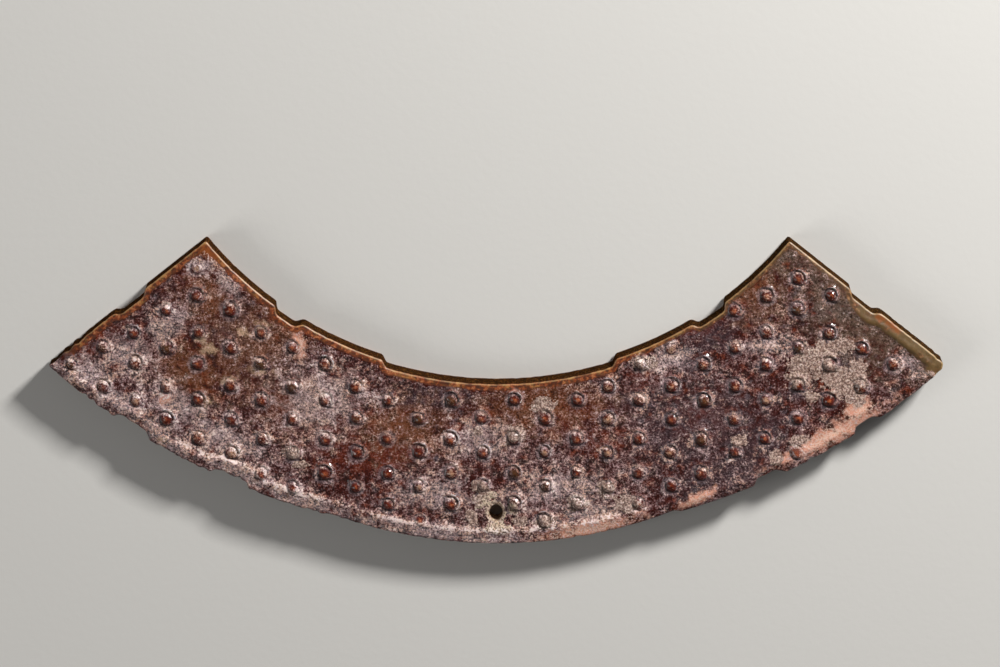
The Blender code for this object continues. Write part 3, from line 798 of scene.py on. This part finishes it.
def grain_tree(sizes):
    """Raises a nub with a curled tail at each grain place, and the crust. Every size is a named input."""
    tree = bpy.data.node_groups.new("grains", "GeometryNodeTree")
    tree.interface.new_socket("Geometry", in_out="INPUT", socket_type="NodeSocketGeometry")
    tree.interface.new_socket("Geometry", in_out="OUTPUT", socket_type="NodeSocketGeometry")
    tree.interface.new_socket("Grain Places", in_out="INPUT", socket_type="NodeSocketObject")
    tree.interface.new_socket("Jade", in_out="INPUT", socket_type="NodeSocketMaterial")
    for name in sizes:
        tree.interface.new_socket(name, in_out="INPUT", socket_type="NodeSocketFloat")
    given = add(tree, "NodeGroupInput").outputs
    position = add(tree, "GeometryNodeInputPosition")
    places = add(tree, "GeometryNodeObjectInfo", [given["Grain Places"]]).outputs["Geometry"]
    middle, own = nearest_grain(tree, position, places)
    reach, around, leaning = from_grain(tree, given, position, middle, own)
    foot, nub, marks = nub_and_marks(tree, given, reach, leaning)
    tail, groove = tail_and_groove(tree, given, own, reach, around, leaning, foot)
    marks |= {"tail": tail, "groove": groove, "tint": own["tint"]}

    # The back has plain low nubs. Nothing rises on the walls, and nothing goes through the floor.
    over_floor = add(tree, "ShaderNodeSeparateXYZ", [position]).outputs["Z"]
    front = add(tree, "ShaderNodeMath", [over_floor, MIDDLE_HEIGHT * MM], operation="GREATER_THAN")
    side = add(tree, "ShaderNodeMapRange", [front, 0, 1, given["Back Height"], given["Nub Height"]])
    edge = add(tree, "GeometryNodeInputNamedAttribute", ["edge"], data_type="FLOAT")
    clear = add(tree, "ShaderNodeMapRange", [edge, 0.15, 0.8, 0, 1], **SMOOTH)
    nub = add(tree, "ShaderNodeMath", [nub, side], operation="MULTIPLY")
    nub = add(tree, "ShaderNodeMath", [nub, own["wear"]], operation="MULTIPLY")
    bead = marks["bead"]
    carved = add(tree, "ShaderNodeMath", [tail, given["Tail Height"]], operation="MULTIPLY")
    carved = add(tree, "ShaderNodeMath", [bead, given["Bead Height"], carved], operation="MULTIPLY_ADD")
    carved = add(tree, "ShaderNodeMath", [groove, given["Groove Depth"], carved], operation="MULTIPLY_ADD")
    carved = add(tree, "ShaderNodeMath", [carved, front], operation="MULTIPLY")
    carved = add(tree, "ShaderNodeMath", [carved, own["wear"], nub], operation="MULTIPLY_ADD")
    rise = add(tree, "ShaderNodeMath", [carved, clear], operation="MULTIPLY")
    rise = with_crust_and_pits(tree, given, position, front, clear, rise)
    to_floor = add(tree, "ShaderNodeMath", [over_floor, -1.0], operation="MULTIPLY")
    rise = add(tree, "ShaderNodeMath", [rise, to_floor], operation="MAXIMUM")

    shape = given["Geometry"]
    for name in GRAIN_MARKS:
        marked = {"Geometry": shape, "Name": name, "Value": marks[name]}
        shape = add(tree, "GeometryNodeStoreNamedAttribute", marked)
    offset = add(tree, "ShaderNodeCombineXYZ", {"Z": rise})
    shape = add(tree, "GeometryNodeSetPosition", {"Geometry": shape, "Offset": offset})
    shape = add(tree, "GeometryNodeRealizeInstances", [shape])
    shape = add(tree, "GeometryNodeSetMaterial", {"Geometry": shape, "Material": given["Jade"]})
    add(tree, "NodeGroupOutput", [shape])
    return tree


def baked(mesh, tree, values):
    """The mesh after the nodes have shaped it."""
    source = bpy.data.objects.new("plate source", mesh)
    bpy.context.scene.collection.objects.link(source)
    modifier = source.modifiers.new("grains", "NODES")
    modifier.node_group = tree
    for item in tree.interface.items_tree:
        if item.in_out == "INPUT" and item.name in values:
            modifier[item.identifier] = values[item.name]
    graph = bpy.context.evaluated_depsgraph_get()
    made = bpy.data.meshes.new_from_object(source.evaluated_get(graph))
    source.modifiers.clear()
    bpy.data.objects.remove(source)
    return made


def linear(colour):
    """An sRGB hex colour as linear light, with alpha."""
    parts = [int(colour[i:i + 2], 16) / 255 for i in (1, 3, 5)]
    return (*(part / 12.92 if part <= 0.04045 else ((part + 0.055) / 1.055) ** 2.4 for part in parts), 1.0)


def stone_marks(tree):
    """What the stone's colours are measured by: its noises, and the marks that its mesh carries."""
    place = add(tree, "ShaderNodeTexCoord").outputs["Object"]
    marks = {}
    for name, millimetres, detail, roughness in NOISES:
        sizes = {"Vector": place, "Scale": 1 / (millimetres * MM), "Detail": detail, "Roughness": roughness}
        marks[name] = add(tree, "ShaderNodeTexNoise", sizes).outputs["Fac"]
    for name in (*PATCHES, *PLACE_MARKS, *GRAIN_MARKS):
        marks[name] = add(tree, "ShaderNodeAttribute", attribute_name=name).outputs["Fac"]
    return marks


def mark_rim(tree, marks):
    """The rim's band of clear stone, measured from the edge, and a painted highlight along the front edge."""
    band = add(tree, "ShaderNodeMath", [marks["clump"], 1.2, marks["edge"]], operation="MULTIPLY_ADD")
    band = add(tree, "ShaderNodeMath", [marks["dim"], 0.35, band], operation="MULTIPLY_ADD")
    band = add(tree, "ShaderNodeMath", [marks["tip"], -1.35, band], operation="MULTIPLY_ADD")
    band = add(tree, "ShaderNodeMapRange", [band, 1.72, 1.32, 0, 1], **SMOOTH)
    band = add(tree, "ShaderNodeMath", [band, marks["honey"]], operation="MULTIPLY")
    # A painted highlight: a pale line along the front edge, inside the clear band.
    line = add(tree, "ShaderNodeMath", [marks["wall"], marks["edge"]], operation="ADD")
    line = add(tree, "ShaderNodeMapRange", [line, 0.28, 0.14, 0, 1])
    marks["band"] = band
    marks["olive band"] = add(tree, "ShaderNodeMath", [band, marks["tip"]], operation="MULTIPLY")
    marks["dim band"] = add(tree, "ShaderNodeMath", [band, marks["dim"]], operation="MULTIPLY")
    marks["painted edge highlight"] = add(tree, "ShaderNodeMath", [line, band], operation="MULTIPLY")


def mark_crust(tree, marks):
    """Where crust lies, and the brighter crust round the hole."""
    crusted = add(tree, "ShaderNodeMath", [marks["lump"], 1.1, marks["crust"]], operation="MULTIPLY_ADD")
    crusted = add(tree, "ShaderNodeMath", [marks["grit"], 0.5, crusted], operation="MULTIPLY_ADD")
    at_hole = add(tree, "ShaderNodeMapRange", [marks["hole"], 1.7, 1.3, 0, 0.8])
    crusted = add(tree, "ShaderNodeMath", [crusted, at_hole], operation="ADD")
    crusted = add(tree, "ShaderNodeMapRange", [crusted, 1.25, 1.31, 0, 1])
    near_hole = add(tree, "ShaderNodeMapRange", [marks["hole"], 4.5, 2.5, 0, 1])
    marks["crusted"] = crusted
    marks["hole crust"] = add(tree, "ShaderNodeMath", [crusted, near_hole], operation="MULTIPLY")


def mark_grains(tree, marks):
    """The grains whose cores are olive or pale, and the tails that were polished down to the warm stone."""
    for name, part, none, full in (
        ("olive core", "bead", 0.2, 0.1),
        ("pale core", "bead", 0.75, 0.95),
        ("warm tail", "tail", 0.75, 0.55),
    ):
        share = add(tree, "ShaderNodeMapRange", [marks["tint"], none, full, 0, 1])
        marks[name] = add(tree, "ShaderNodeMath", [share, marks[part]], operation="MULTIPLY")


def mark_covers(tree, marks):
    """How thick the frost of fine crystals is, where single dark pits lie, and where the painted glints lie.
    """
    for name, (start, shares) in COVERS.items():
        cover = marks[start]
        for mark, share in shares.items():
            cover = add(tree, "ShaderNodeMath", [marks[mark], share, cover], operation="MULTIPLY_ADD")
        marks[name] = cover


def stained(tree, marks):
    """The stone's colour: dark purple-brown, with each stain laid over it in turn, among them painted shade
    and painted highlights.
    """
    warmth = add(tree, "ShaderNodeMapRange", [marks["cloud"], 0.4, 0.6, 0, 1])
    colour = [marks["cloud"], linear("#1a0603"), linear("#581c10")]
    colour = add(tree, "ShaderNodeMix", colour, data_type="RGBA")
    for mark, breaker, share, low, high, stain, strength in STAINS:
        value = add(tree, "ShaderNodeMath", [marks[breaker], share, marks[mark]], operation="MULTIPLY_ADD")
        cover = add(tree, "ShaderNodeMapRange", [value, low, high, 0, strength], **SMOOTH)
        if isinstance(stain, str):
            stain = linear(stain)
        else:
            stain = add(tree, "ShaderNodeMix", [warmth, *map(linear, stain)], data_type="RGBA")
        colour = add(tree, "ShaderNodeMix", [cover, colour, stain], data_type="RGBA")
    return colour


def jade():
    """Old nephrite, carved and waxy: purple-brown from burial, crusted, and clearer in its thin edges."""
    made = bpy.data.materials.new("old jade")
    made.use_nodes = True
    tree = made.node_tree
    shader = tree.nodes["Principled BSDF"]
    marks = stone_marks(tree)
    mark_rim(tree, marks)
    mark_crust(tree, marks)
    mark_grains(tree, marks)
    mark_covers(tree, marks)
    tree.links.new(first_output(stained(tree, marks)), shader.inputs["Base Color"])

    # Frost and crust are dull, the beads are polished, and the sawn walls don't shine.
    dull = add(tree, "ShaderNodeMapRange", [marks["frosted"], 1.5, 1.9, 0.14, 0.4])
    for mark, share in (("crusted", 0.4), ("band", 0.3), ("bead", -0.06)):
        dull = add(tree, "ShaderNodeMath", [marks[mark], share, dull], operation="MULTIPLY_ADD")
    tree.links.new(first_output(dull), shader.inputs["Roughness"])
    shine = add(tree, "ShaderNodeMath", [marks["wall"], -0.45, 0.45], operation="MULTIPLY_ADD")
    tree.links.new(first_output(shine), shader.inputs["Specular IOR Level"])
    crystals = add(tree, "ShaderNodeMapRange", [marks["frosted"], 1.6, 2.0, 0, 1])
    bump = add(tree, "ShaderNodeBump", {"Strength": 1.0, "Distance": 0.1 * MM, "Height": crystals})
    tree.links.new(first_output(bump), shader.inputs["Normal"])
    shader.inputs["Subsurface Weight"].default_value = 0.15
    shader.inputs["Subsurface Radius"].default_value = (1.0, 0.45, 0.2)
    shader.inputs["Subsurface Scale"].default_value = 0.6 * MM
    shader.inputs["IOR"].default_value = 1.61
    return made


def matt_paper():
    """Pale paper, matt and with a faint tooth."""
    made = bpy.data.materials.new("matt paper")
    made.use_nodes = True
    tree = made.node_tree
    shader = tree.nodes["Principled BSDF"]
    place = add(tree, "ShaderNodeTexCoord").outputs["Object"]
    tooth = add(tree, "ShaderNodeTexNoise", {"Vector": place, "Scale": 900.0, "Detail": 3.0}).outputs["Fac"]
    bump = add(tree, "ShaderNodeBump", {"Strength": 0.15, "Distance": 0.1 * MM, "Height": tooth})
    tree.links.new(first_output(bump), shader.inputs["Normal"])
    shader.inputs["Base Color"].default_value = linear("#d8d5cf")
    shader.inputs["Roughness"].default_value = 0.8
    return made


def studio():
    """A pale floor, a key light from the upper right, a broad fill and the camera."""
    scene = bpy.context.scene
    floor = bpy.data.meshes.new("floor")
    corners = [(x * FLOOR_REACH, y * FLOOR_REACH, 0) for x, y in ((-1, -1), (1, -1), (1, 1), (-1, 1))]
    floor.from_pydata(corners, [], [(0, 1, 2, 3)])
    floor.materials.append(matt_paper())
    floor = bpy.data.objects.new("floor", floor)
    scene.collection.objects.link(floor)
    for name, (place, size, power) in LAMPS.items():
        light = bpy.data.lights.new(name, "AREA")
        light.size = size
        light.energy = power
        lamp = bpy.data.objects.new(name, light)
        lamp.location = place
        lamp.rotation_euler = (-Vector(place)).to_track_quat("-Z", "Y").to_euler()
        scene.collection.objects.link(lamp)
    world = bpy.data.worlds.new("room")
    world.use_nodes = True
    world.node_tree.nodes["Background"].inputs["Color"].default_value = linear("#e6e6ea")
    world.node_tree.nodes["Background"].inputs["Strength"].default_value = ROOM_LIGHT
    scene.world = world
    lens = bpy.data.cameras.new("camera")
    lens.lens = LENS
    lens.sensor_width = SENSOR
    camera = bpy.data.objects.new("camera", lens)
    away = FRAME_WIDTH * LENS / SENSOR * MM
    camera.location = Vector(AIM) * MM + Vector((0, math.sin(TILT), math.cos(TILT))) * away
    camera.rotation_euler = (-TILT, 0, 0)
    scene.collection.objects.link(camera)
    scene.camera = camera
    scene.view_settings.view_transform = "Standard"


def main():
    """Builds the plate and its studio."""
    random = np.random.default_rng(SEED)
    cut = cut_line()
    line = worn_line(cut, random)
    places = grain_places(cut, GRAIN_TO_EDGE)
    grains = grains_object(places, grain_places(cut, BACK_GRAIN_TO_EDGE), random)
    mesh = plate_mesh(line, places, random)
    mark_places(mesh, line)
    values = {name: size * MM for name, size in GRAIN_NODE_SIZES.items()}
    values |= {"Grain Places": grains, "Jade": jade()}
    plate = bpy.data.objects.new("old_jade_huang", baked(mesh, grain_tree(GRAIN_NODE_SIZES), values))
    bpy.data.objects.remove(grains)
    plate.data.shade_smooth()
    bpy.context.scene.collection.objects.link(plate)
    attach(plate, "root")
    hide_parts("jade_huang")
    studio()


main()
